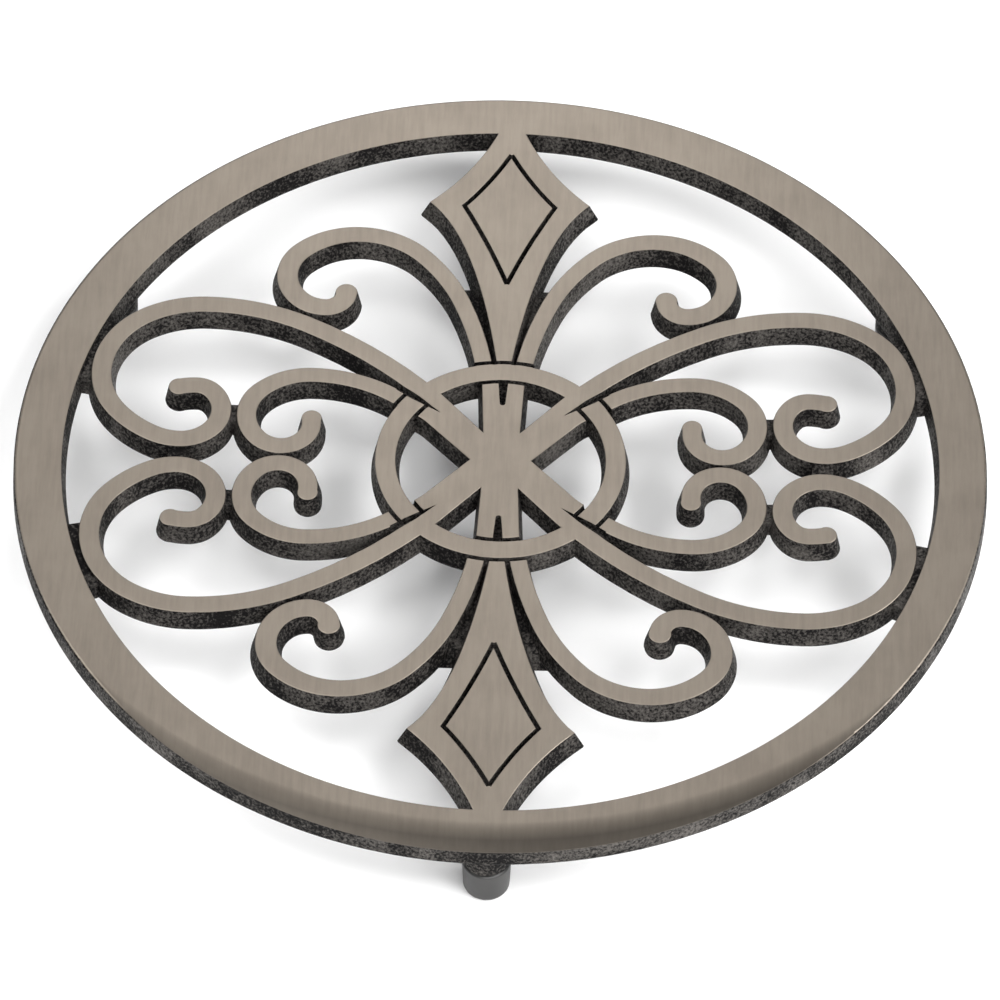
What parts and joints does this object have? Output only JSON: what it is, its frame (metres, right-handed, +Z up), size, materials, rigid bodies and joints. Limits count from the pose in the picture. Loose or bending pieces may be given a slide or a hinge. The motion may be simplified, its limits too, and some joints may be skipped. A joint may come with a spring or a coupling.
{
  "type": "trivet",
  "caption": "Round openwork trivet: a flat cast scrollwork grille with a wide rim, standing on small rubber feet, to keep a hot pan off the table.",
  "frame": {"origin": "on the table, under the centre of the rim", "axes": "+Z up, square to the ground top face; the front foot is towards -Y; the two lances of the pattern lie along +Y and -Y"},
  "size_m": [0.2034, 0.2034, 0.018],
  "materials": {
    "cast_iron": "top faces ground bare and brushed, walls left as cast, nearly black and grainy",
    "rubber": "satin, moulded smooth"
  },
  "bodies": {
    "root": {"cast_grille": "cast_iron", "foot_front": "rubber", "foot_back_left": "rubber", "foot_back_right": "rubber"}
  },
  "joints": []
}
